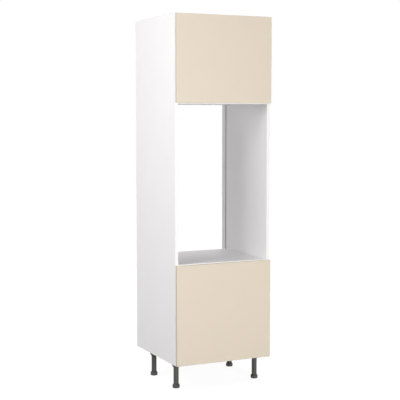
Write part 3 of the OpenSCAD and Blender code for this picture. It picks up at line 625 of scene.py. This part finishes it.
dowelHeights = [boxMm(node)[0][2] + unit["board"] / 2 for node in fixedBoards]
dowelGrids = [(flutedDowel(sign, y, z), False, True)
              for sign in (-1, 1) for y in dowel["rows"] for z in dowelHeights]
gridPiece("fluted_dowels", dowelGrids, "wood_dowels", beech)
print("pads and dowels made")

# Metal fittings: name, metal and how far the arrises are eased, in millimetres

fittings = {
    "shelf_pins": ("turned_shelf_pins", nickelSteel, 0.25),
    "cam_locks": ("cast_cam_locks", castMetal, 0.3),
    "cam_bolts": ("turned_cam_bolts", zincSteel, 0.2),
    "back_panel_screws": ("back_screws", zincSteel, 0.15),
    "wall_brackets": ("pressed_wall_brackets", zincSteel, 0.35),
    "wall_bracket_screws": ("bracket_screws", zincSteel, 0.15),
    "lower_hinge_cups": ("lower_pressed_cups", nickelSteel, 0.2),
    "upper_hinge_cups": ("upper_pressed_cups", nickelSteel, 0.2),
    "lower_cup_screws": ("lower_cup_fixings", zincSteel, 0.12),
    "upper_cup_screws": ("upper_cup_fixings", zincSteel, 0.12),
    "lower_cup_pins": ("lower_cup_rivets", zincSteel, 0.15),
    "upper_cup_pins": ("upper_cup_rivets", zincSteel, 0.15),
    "lower_hinge_levers": ("lower_cranked_levers", nickelSteel, 0.2),
    "upper_hinge_levers": ("upper_cranked_levers", nickelSteel, 0.2),
    "hinge_arms": ("pressed_hinge_arms", nickelSteel, 0.2),
    "hinge_arm_pins": ("arm_rivets", zincSteel, 0.15),
    "hinge_arm_screws": ("arm_fixings", zincSteel, 0.15),
    "hinge_mounting_plates": ("cast_mounting_plates", nickelSteel, 0.35),
    "mounting_plate_screws": ("plate_fixings", zincSteel, 0.15),
    "leg_screws": ("leg_fixings", zincSteel, 0.15),
}
for node, (name, metal, easeMm) in fittings.items():
    easedCopy(name, node, metal, easeMm)
print("fittings made")


# Floor, light and camera, in metres

studio = {
    "floorHalf": 12.0, "floorTone": "#9C9C9A", "white": "#FFFFFF",
    "floorShadow": 0.13, "floorGlow": 1.06,       # share of real light seen on the floor near the unit
    "shadowNear": 0.7, "shadowFar": 2.2,          # over which the floor fades into the white backdrop
    "skyStrength": 0.19,
    "lamps": {
        "farFrontBox": {"at": (-1.5, -9.0, 1.8), "towards": (0, 0, 1.0), "size": (4.0, 3.0), "watts": 158},
        "lowFrontBox": {"at": (0.5, -6.0, 0.9), "towards": (0, 0, 0.6), "size": (2.5, 1.6), "watts": 147},
        "nearLeftBox": {"at": (-3.0, -1.0, 2.4), "towards": (0, 0, 1.7), "size": (1.6, 1.6), "watts": 68},
        "rightFill": {"at": (4.5, 0.8, 1.6), "towards": (0, 0, 1.0), "size": (2.2, 2.4), "watts": 80},
        "topFill": {"at": (0.4, 0.9, 5.0), "towards": (0.1, 0.3, 1.0), "size": (2.0, 2.0), "watts": 63},
        "farRearFill": {"at": (0.5, 11.0, 1.25), "towards": (0, 0, 1.2), "size": (3.0, 2.0), "watts": 300},
        "rearLeftFill": {"at": (-6.1, 5.1, 1.3), "towards": (0.28, 0.1, 1.2), "size": (1.6, 1.6),
                         "watts": 98},
    },
    "unmirrored": ("farRearFill", "rearLeftFill"),   # else an open door shines white with them
}


def seenOrMirrored(add):
    # 1 where the camera, a mirror-like surface or a clear one looks straight at it
    path = add("LightPath", {}).outputs
    plainly = add("Math", {"operation": "MAXIMUM", 0: path["Is Camera Ray"], 1: path["Is Glossy Ray"]})
    anyhow = add("Math", {"operation": "MAXIMUM", 0: plainly.outputs[0], 1: path["Is Transmission Ray"]})
    return anyhow.outputs[0]


white = linearColour(studio["white"])
floorMaterial, add, place = startMaterial("pale_studio_floor")
plain = add("BsdfDiffuse", {"Color": linearColour(studio["floorTone"])})
shadowed = add("BsdfDiffuse", {"Color": white})
glow = add("Emission", {"Strength": studio["floorGlow"]})
fromMiddle = add("VectorMath", {"operation": "LENGTH", 0: place}).outputs["Value"]
nearUnit = add("MapRange", {"interpolation_type": "SMOOTHSTEP", "Value": fromMiddle,
                            "From Min": studio["shadowNear"], "From Max": studio["shadowFar"],
                            "To Min": studio["floorShadow"], "To Max": 0.0})
shown = add("MixShader", {0: nearUnit.outputs[0], 1: glow.outputs[0], 2: shadowed.outputs[0]})
both = add("MixShader", {0: seenOrMirrored(add), 1: plain.outputs[0], 2: shown.outputs[0]})
add("OutputMaterial", {"Surface": both.outputs[0]})

half = studio["floorHalf"]
floorMesh = bpy.data.meshes.new("studio_floor")
floorCorners = [(-half, -half, 0), (half, -half, 0), (half, half, 0), (-half, half, 0)]
floorMesh.from_pydata(floorCorners, [], [(0, 1, 2, 3)])
floorMesh.materials.append(floorMaterial)
floor = bpy.data.objects.new("studio_floor", floorMesh)
bpy.context.scene.collection.objects.link(floor)

sky = bpy.data.worlds.new("studio_sky")
bpy.context.scene.world = sky
sky.use_nodes = True
sky.node_tree.nodes.clear()
add = partial(addNode, sky.node_tree)
# plain light on the unit, and white where it is looked at
skyPower = add("MapRange", {"Value": seenOrMirrored(add), "To Min": studio["skyStrength"], "To Max": 1.0})
skyShader = add("Background", {"Color": white, "Strength": skyPower.outputs[0]})
add("OutputWorld", {"Surface": skyShader.outputs[0]})

for name, lamp in studio["lamps"].items():
    light = bpy.data.lights.new(name, "AREA")
    light.shape = "RECTANGLE"
    light.size, light.size_y = lamp["size"]
    light.energy = lamp["watts"]
    lampObject = bpy.data.objects.new(name, light)
    bpy.context.scene.collection.objects.link(lampObject)
    lampObject.location = lamp["at"]
    lampObject.visible_glossy = name not in studio["unmirrored"]
    fromTarget = np.array(lamp["at"]) - np.array(lamp["towards"])
    tilt = math.atan2(math.hypot(fromTarget[0], fromTarget[1]), fromTarget[2])
    lampObject.rotation_euler = Euler((tilt, 0, math.atan2(fromTarget[0], -fromTarget[1])))

# The camera stands where the photographed edges put it
viewpoint = {"at": (-2.624789, -5.421846, 1.555452), "tilt": 85.286703, "turn": -25.706684,
             "lens": 91.764, "sensor": 36.0}
cameraData = bpy.data.cameras.new("photo_camera")
cameraData.lens = viewpoint["lens"]
cameraData.sensor_width = viewpoint["sensor"]
camera = bpy.data.objects.new("photo_camera", cameraData)
bpy.context.scene.collection.objects.link(camera)
camera.location = viewpoint["at"]
camera.rotation_euler = Euler((math.radians(viewpoint["tilt"]), 0, math.radians(viewpoint["turn"])))
bpy.context.scene.camera = camera
bpy.context.scene.view_settings.view_transform = "Standard"
print("studio ready")
